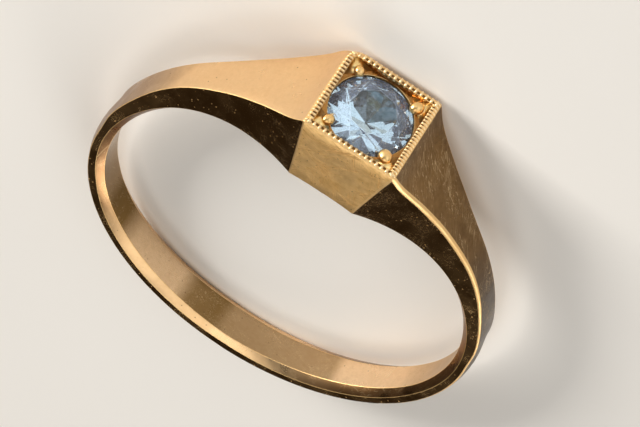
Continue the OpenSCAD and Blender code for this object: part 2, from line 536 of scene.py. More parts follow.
@dataclass(frozen=True)
class GoldFinish:
    """One finish of the gold: its tone, how matt it is, the marks that work and wear left on it, and painted
    shade round the band.
    """

    name: str
    tone: Colour = (0.87, 0.56, 0.25)
    patina: Colour = (0.52, 0.29, 0.10)
    patina_share: float = 0.25
    patina_scale: float = 0.8
    mottle_scale: float = 4.5
    patina_parts: tuple[float, float, float] = (0.45, 0.35, 0.2)
    painted_shade: tuple[Tarnish, ...] = ()
    painted_shade_wobble: float = 12.0
    roughness: float = 0.2
    roughness_spread: float = 0.05
    least_roughness: float = 0.03
    most_roughness: float = 0.9
    fine_scale: float = 9.0
    fine_depth: float = 0.04
    grain_along: Colour = (1.0, 0.0, 0.0)
    grain_draw: float = 0.12
    grain_pitch: float = 12.0
    grain_depth: float = 0.0
    scratch_ways: tuple[Colour, ...] = ((1.0, 0.3, 0.5), (0.4, -1.0, -0.6), (0.2, 1.0, -0.3))
    scratch_pitch: float = 7.0
    scratch_width: float = 0.014
    scratch_depth: float = 0.5
    scratch_matt: float = 0.2
    scratch_cut: float = 0.25
    scratch_tone: Colour = (0.95, 0.72, 0.42)
    scratch_shade: float = 0.3
    speck_scale: float = 5.0
    speck_size: float = 0.2
    speck_share: float = 0.1
    speck_tone: Colour = (0.1, 0.05, 0.02)
    speck_shade: float = 0.5
    speck_roughness: float = 0.2
    speck_depth: float = 0.1
    bump: float = 0.6
    bump_height: float = 0.01

    def lines(self, graph: Graph) -> Socket:
        """The scratches of all directions together.

        Args:
            graph: Graph of the material.

        Returns:
            One on a scratch and nought beside it.
        """
        lines = graph.scratches(self.scratch_ways[0], self.scratch_pitch, self.scratch_width)
        for way in self.scratch_ways[1:]:
            lines = lines + graph.scratches(way, self.scratch_pitch, self.scratch_width)
        return lines.at_most(1.0)

    def material(self) -> bpy.types.Material:
        """Builds the finish.

        Returns:
            The material.
        """
        graph = Graph(self.name)
        place = graph.ring_millimetres()
        cloud = graph.noise(place, self.patina_scale, 3.0)
        mottle = graph.noise(place, self.mottle_scale, 2.0, 0.6)
        fine = graph.noise(place, self.fine_scale, 3.0, 0.6)
        drawn = graph.ring_millimetres(self.grain_along, (self.grain_draw, 1, 1))
        grain = graph.noise(drawn, self.grain_pitch, 2.0, 0.6)
        marks = graph.specks(place, self.speck_scale, self.speck_size, self.speck_share)
        lines = self.lines(graph)
        clouded, mottled, drawn_out = cloud.ramp(0.4, 0.7), mottle.ramp(0.35, 0.7), grain.ramp(0.4, 0.7)
        cloud_part, mottle_part, grain_part = self.patina_parts
        share = clouded * cloud_part + mottled * mottle_part + drawn_out * grain_part
        colour = graph.mix(share * self.patina_share, rgba(self.tone), rgba(self.patina))
        # Painted shade: rows by the turn round the band mix darker or lighter tones over the finish.
        if self.painted_shade:
            painted_shade = graph.painted_shade(self.painted_shade, (cloud - 0.5) * self.painted_shade_wobble)
            colour = graph.mix(painted_shade.beside("Alpha"), colour, painted_shade)
        colour = graph.mix(marks * self.speck_shade, colour, rgba(self.speck_tone))
        colour = graph.mix(lines * self.scratch_shade, colour, rgba(self.scratch_tone))
        rough = cloud.ramp(0.3, 0.7, -1.0, 1.0) * self.roughness_spread + self.roughness
        rough = rough + marks * self.speck_roughness + lines * (self.scratch_matt * self.scratch_depth)
        height = grain * self.grain_depth + fine * self.fine_depth
        height = height - lines * (self.scratch_cut * self.scratch_depth) - marks * self.speck_depth
        relief = {"Strength": self.bump, "Distance": self.bump_height * MM, "Height": height}
        bump = graph.node("ShaderNodeBump", inputs=relief, result="Normal")
        shader = graph.node(
            "ShaderNodeBsdfPrincipled",
            {"distribution": "MULTI_GGX"},
            {
                "Base Color": colour,
                "Metallic": 1.0,
                "Roughness": rough.at_least(self.least_roughness).at_most(self.most_roughness),
                "Normal": bump,
            },
        )
        return graph.output(shader)


@dataclass(frozen=True)
class ClearFinish:
    """Clear, faintly blue stone with a film of dust and a few specks on it."""

    name: str = "clear_spinel"
    body: Colour = (0.60, 0.79, 0.90)
    refraction: float = 1.718
    dust: Colour = (0.42, 0.55, 0.72)
    dust_roughness: float = 0.8
    haze: float = 0.05
    film: float = 0.36
    film_scale: float = 6.0
    speck_scale: float = 11.0
    speck_size: float = 0.22
    speck_share: float = 0.35
    speck_dust: float = 0.35

    def material(self) -> bpy.types.Material:
        """Builds the finish.

        Returns:
            The material.
        """
        graph = Graph(self.name)
        place = graph.ring_millimetres()
        specks = graph.specks(place, self.speck_scale, self.speck_size, self.speck_share)
        film = graph.noise(place, self.film_scale, 4.0, 0.7).ramp(0.4, 0.8) * self.film
        clear = graph.node(
            "ShaderNodeBsdfPrincipled",
            inputs={
                "Base Color": rgba(self.body),
                "Roughness": 0.0,
                "IOR": self.refraction,
                "Transmission Weight": 1.0,
            },
        )
        powder = {"Base Color": rgba(self.dust), "Roughness": self.dust_roughness}
        dusty = graph.node("ShaderNodeBsdfPrincipled", inputs=powder)
        share = (specks * self.speck_dust + film + self.haze).at_most(1.0)
        return graph.output(graph.node("ShaderNodeMixShader", inputs={0: share, 1: clear, 2: dusty}))


@dataclass(frozen=True)
class FloorFinish:
    """Plain pale studio floor."""

    name: str = "pale_floor"
    tone: Colour = (0.80, 0.79, 0.77)
    darker: float = 0.94
    cloud_scale: float = 0.05
    cloud_share: float = 0.25
    roughness: float = 0.85

    def material(self) -> bpy.types.Material:
        """Builds the finish.

        Returns:
            The material.
        """
        graph = Graph(self.name)
        cloud = graph.noise(graph.ring_millimetres(), self.cloud_scale, 2.0).ramp(0.3, 0.7)
        shade = rgba(tuple(self.darker * c for c in self.tone))
        colour = graph.mix(cloud * self.cloud_share, rgba(self.tone), shade)
        inputs = {"Base Color": colour, "Roughness": self.roughness}
        return graph.output(graph.node("ShaderNodeBsdfPrincipled", inputs=inputs))


class Gold(Enum):
    """Finishes of the gold, each with its material slot number on a piece."""

    SIDE = 0
    FACE = 1
    LEFT_SHOULDER = 2
    RIGHT_SHOULDER = 3
    BORE = 4
    RECESS = 5
    SEAT = 6
    GROOVE = 7
    LIP = 8
    BEVEL = 9


RIGHT_GRAIN = (0.63, -0.77, 0.66)

GOLD_FINISHES = {
    Gold.SIDE: GoldFinish(
        "polished_side",
        roughness=0.17,
        fine_depth=0.03,
        speck_share=0.3,
        speck_shade=0.0,
        speck_roughness=0.35,
    ),
    Gold.FACE: GoldFinish(
        "satin_face",
        tone=(0.96, 0.65, 0.29),
        patina=(0.56, 0.34, 0.11),
        patina_share=0.95,
        roughness=0.44,
        fine_depth=1.0,
        grain_depth=0.1,
        scratch_ways=((1.0, 0.3, 0.0), (0.25, -1.0, 0.0), (0.8, 0.7, 0.0), (1.0, -0.5, 0.0)),
        scratch_pitch=5.5,
        scratch_width=0.026,
        scratch_depth=2.0,
        scratch_tone=(0.42, 0.25, 0.09),
        scratch_shade=0.6,
        speck_share=0.3,
        speck_shade=0.85,
    ),
    # Painted shade: brown rows darken the left shoulder partway round toward the back where it reflects
    # darker surroundings, and the back rows give the band's back a middle gold.
    Gold.LEFT_SHOULDER: GoldFinish(
        "left_shoulder",
        tone=(0.90, 0.60, 0.32),
        patina_share=0.25,
        painted_shade=(
            *painted_shades(LEFT_SHADE_BROWN, (-134, 0.0), (-127, 0.5), (-118, 0.68), (-105, 0.85), (-80, 0.9)),
            *painted_shades(BACK_GOLD, (-30, 1.0), (0, 1.0)),
        ),
        roughness=0.32,
        scratch_depth=0.2,
        speck_share=0.06,
    ),
    # Painted shade: the right shoulder is the same gold as the left, painted dark brown for the shadow and
    # dark reflection on it; its rows bring it to the back's middle gold behind and darker still partway
    # round.
    Gold.RIGHT_SHOULDER: GoldFinish(
        "right_shoulder",
        tone=(0.25, 0.145, 0.058),
        patina=(0.14, 0.075, 0.026),
        patina_share=0.9,
        painted_shade=(
            *painted_shades(BACK_GOLD, (0, 1.0), (30, 1.0)),
            *painted_shades(SHADE_BROWN, (80, 0.9), (112, 0.9), (125, 0.75), (134, 0.35), (141, 0.0)),
        ),
        roughness=0.32,
        grain_along=RIGHT_GRAIN,
        grain_depth=0.35,
        scratch_ways=(RIGHT_GRAIN, (0.6, -0.8, 0.3), (0.63, -0.77, 0.9)),
        scratch_depth=1.5,
        scratch_width=0.016,
        scratch_pitch=9.0,
        scratch_shade=0.55,
        speck_shade=0.0,
        speck_roughness=0.3,
        speck_share=0.2,
    ),
    # Painted reflection: olive-brown rows darken the inside where it reflects dark surroundings, leaving
    # light patches between.
    Gold.BORE: GoldFinish(
        "worn_inside",
        tone=(0.98, 0.70, 0.44),
        patina_share=0.35,
        patina_scale=0.3,
        painted_shade=(
            *painted_shades(OLIVE_BROWN, (-90, 0.75), (-64, 0.75), (-58, 0.97), (-49, 0.93), (-41, 0.25)),
            *painted_shades(OLIVE_BROWN, (-21, 0.2), (-16, 0.84), (-5, 0.88), (-1, 0.6), (34, 0.56)),
            *painted_shades(OLIVE_BROWN, (37, 0.0), (60, 0.0), (64, 0.25), (90, 0.6)),
        ),
        painted_shade_wobble=4.0,
        roughness=0.26,
        roughness_spread=0.1,
        scratch_depth=0.3,
    ),
    Gold.RECESS: GoldFinish(
        "recess",
        tone=(0.46, 0.23, 0.065),
        patina=(0.20, 0.08, 0.02),
        patina_share=0.7,
        roughness=0.24,
        fine_depth=0.2,
    ),
    # Painted shade: the seat under the stone is dark brown, which darkens what shows through the stone.
    Gold.SEAT: GoldFinish("seat", tone=(0.30, 0.15, 0.05), patina_share=0.8, roughness=0.4),
    # Painted shade: the strip between the milled teeth is dark brown for the shade in the gaps between the
    # teeth.
    Gold.GROOVE: GoldFinish(
        "groove", tone=(0.20, 0.10, 0.032), patina=(0.10, 0.05, 0.015), roughness=0.42
    ),
    Gold.LIP: GoldFinish(
        "lip", tone=(0.93, 0.64, 0.30), patina_share=0.3, roughness=0.48, fine_depth=0.12
    ),
    # Painted shade: brown rows darken the inner bevel round most of the band, leaving it light only from -38
    # to 18 degrees.
    Gold.BEVEL: GoldFinish(
        "inner_bevel",
        tone=(0.92, 0.64, 0.35),
        painted_shade=(
            *painted_shades(BEVEL_BROWN, (-100, 0.95), (-60, 0.8), (-44, 0.2), (-38, 0.0)),
            *painted_shades(BEVEL_BROWN, (18, 0.0), (27, 0.6), (40, 0.9), (100, 0.9)),
        ),
        roughness=0.3,
        scratch_depth=0.2,
    ),
}

# Painted light: the teeth's pale tone lifts them above the gold so that they read bright, as teeth that catch
# the light.
BEAD_FINISH = GoldFinish(
    "milled_beads", tone=(1.0, 0.78, 0.46), patina_share=0.1, roughness=0.36, fine_depth=0.2
)
GRAIN_FINISH = GoldFinish(
    "grain", tone=(0.98, 0.66, 0.28), patina_share=0.45, roughness=0.3, fine_depth=0.3
)
# Painted light: the cut corners' pale yellow tone brightens them for the light that the cut facets catch.
RIDGE_FINISH = GoldFinish(
    "cut_corner", tone=(1.0, 0.74, 0.33), patina_share=0.35, roughness=0.32, fine_depth=0.6
)


class Cut(Enum):
    """Finishes of the stone, each with its material slot number."""

    TABLE = 0
    PAVILION = 1
    CROWN = 2
    RUBBED_EDGE = 3


STONE_FINISHES = {
    Cut.TABLE: ClearFinish(),
    # Painted shade: the pavilion's near-black tint darkens what is seen through the stone, though the setting
    # is open behind it.
    Cut.PAVILION: ClearFinish(
        "shaded_pavilion_spinel", body=(0.01, 0.04, 0.075), haze=0.0, film=0.0, speck_share=0.0
    ),
    Cut.CROWN: ClearFinish("rubbed_spinel", dust=(0.48, 0.60, 0.84), haze=0.16),
    Cut.RUBBED_EDGE: ClearFinish("rubbed_edges", dust=(0.60, 0.74, 0.92), haze=0.26),
}


class Piece:
    """A mesh under construction in the ring's own frame, in millimetres."""

    def __init__(self, name: str) -> None:
        """Starts an empty mesh."""
        self.name = name
        self.bm = bmesh.new()

    def close(self) -> None:
        """Merges doubles and turns the faces outwards."""
        bmesh.ops.remove_doubles(self.bm, verts=self.bm.verts[:], dist=SLIVER)
        bmesh.ops.recalc_face_normals(self.bm, faces=self.bm.faces[:])

    def weigh_edges(self, weight: Callable[[bmesh.types.BMEdge], float], least_angle: float) -> None:
        """Gives each crease the bevel weight that its wear calls for, and keeps one without wear sharp.

        Args:
            weight: Function from an edge to its weight, from 0 to 1.
            least_angle: Angle between two faces, in degrees, from which an edge is a crease.
        """
        unworn = 0.02
        layer = self.bm.edges.layers.float.new("bevel_weight_edge")
        for edge in self.bm.edges:
            if abs(edge.calc_face_angle(0.0)) > math.radians(least_angle):
                edge[layer] = weight(edge)
                edge.smooth = edge[layer] > unworn

    def finish(self, materials: Materials, smooth: bool = True) -> bpy.types.Object:
        """Places the mesh in the row's frame, in metres, and hands it to the frame.

        Args:
            materials: Material of each slot that the faces name.
            smooth: Whether the faces are shaded smooth.

        Returns:
            The finished object, which rides on the ring's body.
        """
        bmesh.ops.transform(self.bm, matrix=Matrix.Scale(MM, 4) @ LAID, verts=self.bm.verts[:])
        for face in self.bm.faces:
            face.smooth = smooth
        made = self.link(self.name, self.bm, materials)
        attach(made, "root")
        return made

    @staticmethod
    def link(name: str, bm: bmesh.types.BMesh, materials: Materials) -> bpy.types.Object:
        """Makes a mesh an object of the scene.

        Args:
            name: Name of the object.
            bm: The mesh, which is freed.
            materials: Material of each slot that the faces name.

        Returns:
            The object.
        """
        mesh = bpy.data.meshes.new(name)
        bm.to_mesh(mesh)
        bm.free()
        for material in materials:
            mesh.materials.append(material)
        made = bpy.data.objects.new(name, mesh)
        bpy.context.scene.collection.objects.link(made)
        return made


def bevel_worn(
    piece: bpy.types.Object, name: str, width: float, segments: int, slot: int
) -> bpy.types.Modifier:
    """Rounds the creases of a piece as far as their weights say.

    Args:
        piece: The finished piece.
        name: Name of the modifier.
        width: Bevel of a crease of weight one, in millimetres.
        segments: Faces across the bevel.
        slot: Material slot of the bevel.

    Returns:
        The modifier.
    """
    bevel = piece.modifiers.new(name, "BEVEL")
    bevel.limit_method = "WEIGHT"
    bevel.width = width * MM
    bevel.segments = segments
    bevel.profile = 0.5
    bevel.material = slot
    return bevel


@dataclass(frozen=True)
class CornerWear:
    """The far left corner of the head, rubbed down as on the real ring."""

    sizes: RingSizes
    reach: float = 0.8
    depth: float = 0.24
    inwards: Colour = (0.55, -0.6, 0.55)

    def rub(self, verts: Iterable[bmesh.types.BMVert]) -> None:
        """Moves points near the corner inwards, the nearest the most.

        Args:
            verts: Points of a mesh in the ring's own frame.
        """
        s = self.sizes
        corner = Vector((-s.head_l / 2, s.strip_y, -s.head_w / 2))
        for vert in verts:
            near = 1 - (vert.co - corner).length / self.reach
            if near > 0:
                vert.co += Vector(self.inwards) * (self.depth * near**2)


class Zone(Enum):
    """Stretches of the band's section, in the order in which the section runs round."""

    BORE = "bore"
    NEAR_SIDE = "near side"
    OUTSIDE = "outside"
    FAR_SIDE = "far side"


@dataclass(frozen=True)
class Row:
    """A line of points that runs round the ring: its zone, and its share of the way through that zone."""

    zone: Zone
    share: float


@dataclass(frozen=True)
class Station:
    """A section through the band: its polar angle outside, and the outline's distance from the centre."""

    angle: float
    reach: float
    on_head: bool


@dataclass(frozen=True)
class CreaseWear:
    """Wear of each kind of crease, as a share of the widest worn bevel."""

    recess: float = 0.14
    bore: float = 0.08
    rim: float = 0.5
    head_side: float = 0.3
    shoulder: float = 0.15
    near_right: float = 0.75
    near_right_gain: float = 0.1
    near_right_end: float = -6.0
    near_right_run: float = 12.0
    floor_room: float = 0.3
    shoulder_room: float = 0.13


@dataclass
class Shank:
    """Band, shoulders and head block, one closed mesh with the recess and the seat in it."""

    sizes: RingSizes
    curve_steps: int = 6
    back_step: float = 3.0
    recess_cells: int = 24
    side_rows: int = 12
    side_start: float = 0.16
    side_span: float = 0.66
    crease_spread: float = 3.0
    crease_limit: float = 25.0
    halvings: int = 40
    edge_rounds: int = 4
    melt: float = 0.04
    shoulder_pull: float = 0.76
    pull_run: float = 2.0
    window_margin: float = 0.25
    face_below: float = 0.2
    band_t_least: float = 0.4
    least_crease: float = 14.0
    worn_width: float = 0.17
    worn: CreaseWear = CreaseWear()

    def crease_angle(self, radius: float) -> float:
        """Polar angle of the line where the head's side face ends.

        Args:
            radius: Distance from the finger hole's centre.

        Returns:
            The angle in radians.
        """
        low, high = 0.0, math.radians(self.crease_limit)
        full = self.sizes.head_w / 2 - SLIVER
        for _ in range(self.halvings):
            middle = (low + high) / 2
            wide = self.sizes.half_width(radius * math.sin(middle), radius * math.cos(middle)) >= full
            low, high = (middle, high) if wide else (low, middle)
        return low

    def stations(self) -> list[Station]:
        """Sections from the back round the left shoulder and the head to the back again.

        Returns:
            The sections, the first and the last at the same place.
        """
        s = self.sizes
        half, inner = s.head_l / 2, s.recess_half
        top = [inner * (2 * i / self.recess_cells - 1) for i in range(self.recess_cells + 1)]
        top = [-half, -(half + inner) / 2, *top, (half + inner) / 2, half]
        head = [Station(math.atan2(x, s.strip_y), math.hypot(x, s.strip_y), True) for x in top]
        right = [Station(angle, reach, False) for angle, reach in s.shoulder_points(self.curve_steps)[1:]]
        last = right[-1].angle
        count = round((math.pi - last) / math.radians(self.back_step))
        right += [Station(last + (math.pi - last) * i / count, 0.0, False) for i in range(1, count + 1)]
        left = [Station(-station.angle, station.reach, False) for station in reversed(right)]
        return left + head + right

    def rows(self) -> list[Row]:
        """Rows round the section, which starts and ends on the far edge of the bore.

        Returns:
            The rows, the first once more at the end.
        """
        s, cells = self.sizes, self.recess_cells
        hole = self.bore_window() / (s.head_w / 2 - s.bevel_depth(0))
        bore = [-1.0, *(hole * (2 * i / cells - 1) for i in range(cells + 1)), 1.0]
        even = [self.side_start + self.side_span * i / self.side_rows for i in range(self.side_rows + 1)]
        side = [0.0, *even, 1.0]
        inner = s.recess_half / (s.head_w / 2)
        middle = [inner * (1 - 2 * i / cells) for i in range(cells + 1)]
        outside = [(1 + inner) / 2, *middle, -(1 + inner) / 2]
        rows = [Row(Zone.BORE, share) for share in bore]
        rows += [Row(Zone.NEAR_SIDE, share) for share in side]
        rows += [Row(Zone.OUTSIDE, share) for share in outside]
        rows += [Row(Zone.FAR_SIDE, share) for share in reversed(side)]
        return rows + [rows[0]]

    def bore_window(self) -> float:
        """Half width of the patch of the bore that is opened for the hole behind the stone."""
        return self.sizes.light_r + self.window_margin

    def outside_reach(self, station: Station, across: float) -> float:
        """Distance of the outside from the centre, where shoulder and rounded band melt together.

        Args:
            station: Section through the band.
            across: Distance from the ring's middle plane.

        Returns:
            The distance in millimetres.
        """
        if station.on_head:
            return station.reach
        band = self.sizes.crown_reach(station.angle, across)
        gap = station.reach - band
        return band + (gap + math.sqrt(gap**2 + self.melt**2)) / 2 if station.reach else band

    def point(self, station: Station, row: Row) -> Vector:
        """The point of the ring's surface on a station and a row.

        Args:
            station: Section through the band.
            row: Place round that section.

        Returns:
            The point in the ring's own frame.
        """
        s = self.sizes
        inner = s.finger_r + s.bevel_depth(station.angle)
        outer_angle = station.angle
        edge = station.reach or s.band_r
        half = s.head_w / 2
        for _ in range(self.edge_rounds):
            if not station.on_head:
                half = s.half_width(edge * math.sin(outer_angle), edge * math.cos(outer_angle))
            edge = self.outside_reach(station, min(half, s.back_w / 2))
        if row.zone is Zone.OUTSIDE:
            across = row.share * half * self.row_pull(station, row)
            return self.place(outer_angle, self.outside_reach(station, across), across)
        if row.zone is Zone.BORE:
            radius = s.finger_r
            across = row.share * (self.side_half(station, inner, edge) - (inner - s.finger_r))
        else:
            radius = inner + (edge - inner) * row.share
            across = half if row.share == 1 else self.side_half(station, radius, edge)
            across = across if row.zone is Zone.NEAR_SIDE else -across
        return self.place(self.turned(station, radius, edge), radius, across)

    def turned(self, station: Station, radius: float, edge: float) -> float:
        """Polar angle of a section's point, drawn along so that a row follows the head's crease.

        Args:
            station: Section through the band.
            radius: Distance of the point from the finger hole's centre.
            edge: Distance of the section's outer edge.

        Returns:
            The angle in radians.
        """
        s, outer = self.sizes, station.angle
        sign = math.copysign(1.0, outer) if outer else 0.0
        apart = abs(abs(outer) - s.corner)
        fade = math.exp(-((apart / math.radians(self.crease_spread)) ** 2))
        fade = fade if abs(outer) > s.corner else (outer / s.corner) ** 2
        lag = (self.crease_angle(radius) - s.corner) * min(1.0, (edge - radius) / (edge - s.finger_r))
        return outer + sign * fade * lag

    def side_half(self, station: Station, radius: float, edge: float) -> float:
        """Half the width of a section at a radius.

        Args:
            station: Section through the band.
            radius: Distance from the finger hole's centre.
            edge: Distance of the section's outer edge.

        Returns:
            Half the width in millimetres.
        """
        if station.on_head:
            return self.sizes.head_w / 2
        angle = self.turned(station, radius, edge)
        return self.sizes.half_width(radius * math.sin(angle), radius * math.cos(angle))

    def row_pull(self, station: Station, row: Row) -> float:
        """How far a row of the outside draws in from the worn creases beside the head.

        Args:
            station: Section through the band.
            row: Place round that section.

        Returns:
            Factor on the row's distance from the middle plane.
        """
        if station.on_head or abs(row.share) == 1:
            return 1.0
        past = (abs(station.angle) - self.sizes.corner) / math.radians(self.pull_run)
        return 1 - (1 - self.shoulder_pull) * min(1.0, past)

    def place(self, angle: float, radius: float, across: float) -> Vector:
        """The point at a polar angle and radius, that far from the middle plane."""
        return Vector((radius * math.sin(angle), radius * math.cos(angle), across))

    def skin(self, piece: Piece) -> None:
        """Bends a grid round the ring, one column for each station.

        Args:
            piece: Piece that takes the skin.
        """
        stations, rows = self.stations(), self.rows()
        columns, lines, half = len(stations) - 1, len(rows) - 1, 0.5
        bmesh.ops.create_grid(piece.bm, x_segments=columns, y_segments=lines, size=half)
        for vert in piece.bm.verts:
            station = stations[round((vert.co.x + half) * columns)]
            row = rows[round((vert.co.y + half) * lines)]
            vert.co = self.point(station, row)
        piece.close()

    def over_seat(self, face: bmesh.types.BMFace, side: float) -> bool:
        """Whether a face of the skin covers the recess or the hole behind the stone.

        Args:
            face: Face of the skin.
            side: Half the opened length of the bore along the band.

        Returns:
            True for a face that is taken out.
        """
        s = self.sizes
        inner, window = s.recess_half + HAIR, self.bore_window() + HAIR
        places = [vert.co for vert in face.verts]
        if all(co.y > s.strip_y - HAIR and max(abs(co.x), abs(co.z)) < inner for co in places):
            return True
        in_bore = all(co.y > 0 and co.xy.length < s.finger_r + HAIR for co in places)
        return in_bore and all(abs(co.x) < side and abs(co.z) < window for co in places)

    def open_seat(self, piece: Piece) -> None:
        """Sinks the recess, the round seat and the hole behind the stone into the head.

        Args:
            piece: Piece that holds the skin.
        """
        s, bm = self.sizes, piece.bm
        rim_angle, rim_reach = math.atan2(s.recess_half, s.strip_y), math.hypot(s.recess_half, s.strip_y)
        side = self.point(Station(rim_angle, rim_reach, True), Row(Zone.BORE, 0.0)).x + HAIR
        gone = [face for face in bm.faces if self.over_seat(face, side)]
        bmesh.ops.delete(bm, geom=gone, context="FACES")
        rim = [edge for edge in bm.edges if edge.is_boundary]
        upper = [edge for edge in rim if edge.verts[0].co.y > s.strip_y - s.border_w / 2]
        lower = [edge for edge in rim if edge not in upper]
        cone_top = s.girdle_y - s.girdle_h - 2 * s.stone_gap
        cone_h = (s.seat_r - s.light_r) * math.tan(math.radians(s.pavilion_angle))
        share = s.light_r / s.seat_r
        moves = (
            lambda co: Vector((co.x, s.floor_y, co.z)),
            self.on_circle,
            lambda co: Vector((co.x, cone_top, co.z)),
            lambda co: Vector((co.x * share, cone_top - cone_h, co.z * share)),
            lambda co: Vector((co.x, math.sqrt(s.finger_r**2 - co.x**2), co.z)),
            lambda co: co,
        )
        loop = upper
        for move in moves:
            loop = self.extrude(bm, loop, move)
        for vert, target in zip(self.in_turn(loop), self.in_turn(lower)):
            vert.co = target.co
        piece.close()

    def on_circle(self, co: Vector) -> Vector:
        """The point of the seat's circle that belongs to a point of the recess square.

        Args:
            co: Point of the square.

        Returns:
            Point of the circle.
        """
        wide = abs(co.x) >= abs(co.z)
        share = (co.z if wide else co.x) / max(abs(co.x), abs(co.z))
        angle = share * math.pi / 4
        across, along = self.sizes.seat_r * math.cos(angle), self.sizes.seat_r * math.sin(angle)
        if wide:
            return Vector((math.copysign(across, co.x), co.y, along))
        return Vector((along, co.y, math.copysign(across, co.z)))

    def in_turn(self, edges: Iterable[bmesh.types.BMEdge]) -> list[bmesh.types.BMVert]:
        """A loop's points in the order of their turn round the stone's axis.

        Args:
            edges: The loop, whose square's corners count as lying at 45 degrees.

        Returns:
            The points.
        """
        verts = list({vert for edge in edges for vert in edge.verts})
        wide = max(abs(vert.co.x) for vert in verts)
        deep = max(abs(vert.co.z) for vert in verts)
        start_turn = 1.0
        start = Matrix.Rotation(math.radians(start_turn), 2)

        def turn(vert: bmesh.types.BMVert) -> float:
            """Turn of a point in the loop's square."""
            place = start @ Vector((vert.co.x / wide, vert.co.z / deep))
            return math.atan2(place.y, place.x)

        return sorted(verts, key=turn)

    def extrude(
        self,
        bm: bmesh.types.BMesh,
        edges: Iterable[bmesh.types.BMEdge],
        move: Callable[[Vector], Vector],
    ) -> list[bmesh.types.BMEdge]:
        """Extrudes a loop of edges and moves its new points.

        Args:
            bm: Mesh that holds the loop.
            edges: The loop.
            move: Function from a new point's place to the place that it moves to.

        Returns:
            The new loop's edges.
        """
        made = bmesh.ops.extrude_edge_only(bm, edges=list(edges))["geom"]
        verts = [item for item in made if isinstance(item, bmesh.types.BMVert)]
        for vert in verts:
            vert.co = move(vert.co.copy())
        fresh = set(verts)
        return [e for e in made if isinstance(e, bmesh.types.BMEdge) and set(e.verts) <= fresh]

    def wear(self, edge: bmesh.types.BMEdge) -> float:
        """Wear of a crease, by where it lies.

        Args:
            edge: The crease.

        Returns:
            Its share of the widest worn bevel.
        """
        s, worn, near, over_bore = self.sizes, self.worn, 0.02, 0.5
        middle = (edge.verts[0].co + edge.verts[1].co) / 2
        radius = middle.xy.length
        out = max(abs(middle.x), abs(middle.z))
        if out < s.recess_half + near and middle.y > s.finger_r + over_bore:
            if abs(middle.y - s.floor_y) > 5 * near:
                return worn.recess
            room = worn.floor_room * (s.recess_half - 2 * near - out) / self.worn_width
            return max(0.0, min(worn.recess, room))
        if radius < s.finger_r + s.bevel + near:
            return worn.bore
        if middle.y > s.strip_y - near:
            return worn.rim
        if abs(middle.z) > s.head_w / 2 - near:
            return worn.head_side
        depth = s.bevel_depth(math.atan2(middle.x, middle.y))
        room = worn.shoulder_room * (radius - s.finger_r - depth) / self.worn_width
        if middle.x <= 0 or middle.z <= 0:
            return max(0.0, min(1.0, worn.shoulder, room))
        past = math.degrees(math.atan2(abs(middle.x), middle.y) - s.corner)
        grown = worn.near_right + worn.near_right_gain * past
        fading = (middle.y - worn.near_right_end) / worn.near_right_run
        return max(0.0, min(1.0, grown, fading, room))

    def finish_of(self, face: bmesh.types.BMFace) -> Gold:
        """The finish of a face, by where it lies and the way it looks.

        Args:
            face: Face of the ring before its creases are bevelled.

        Returns:
            The finish.
        """
        s, near = self.sizes, 0.01
        level, slanting, upright, flat = 0.3, 0.6, 0.95, 0.999
        middle, normal = face.calc_center_median(), face.normal
        radius, out, side_on = middle.xy.length, max(abs(middle.x), abs(middle.z)), abs(normal.z)
        over_bore = middle.y > s.finger_r + 10 * near
        if over_bore and middle.xz.length < s.seat_r + near and middle.y < s.floor_y - near:
            return Gold.SEAT
        if over_bore and out < s.recess_half + near:
            return Gold.RECESS
        if normal.y > upright and middle.y > s.strip_y - near:
            lip = s.head_l / 2 if middle.x < -s.recess_half else (s.recess_half + s.head_l / 2) / 2
            return Gold.GROOVE if out < lip else Gold.LIP
        if radius < s.finger_r + 5 * near and side_on < level:
            return Gold.BORE
        if side_on > flat and middle.y > s.finger_r - self.face_below and abs(middle.x) < s.head_l / 2:
            return Gold.FACE
        if radius < s.finger_r + s.bevel and level < side_on < upright:
            return Gold.BEVEL
        if side_on < slanting and radius > s.finger_r + self.band_t_least:
            return Gold.RIGHT_SHOULDER if middle.x > 0 else Gold.LEFT_SHOULDER
        return Gold.SIDE

    def build(self, materials: Materials) -> bpy.types.Object:
        """Builds the mesh, bevels its creases and dresses it.

        Args:
            materials: Gold finishes in the order of Gold.

        Returns:
            The finished piece.
        """
        piece = Piece("shank")
        self.skin(piece)
        self.open_seat(piece)
        CornerWear(self.sizes).rub(piece.bm.verts)
        for face in piece.bm.faces:
            face.material_index = self.finish_of(face).value
        piece.weigh_edges(self.wear, self.least_crease)
        made = piece.finish(materials)
        bevel = bevel_worn(made, "worn_edges", self.worn_width, 3, Gold.LIP.value)
        bevel.use_clamp_overlap = False
        shade = made.modifiers.new("face_normals", "WEIGHTED_NORMAL")
        shade.keep_sharp = True
        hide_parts("ring_body")
        return made


@dataclass(frozen=True)
class Milling:
    """Teeth of one side of the border: how far in their middle lies, half their length, and their pitch."""

    turn: float
    inset: float
    across: float
    pitch: float


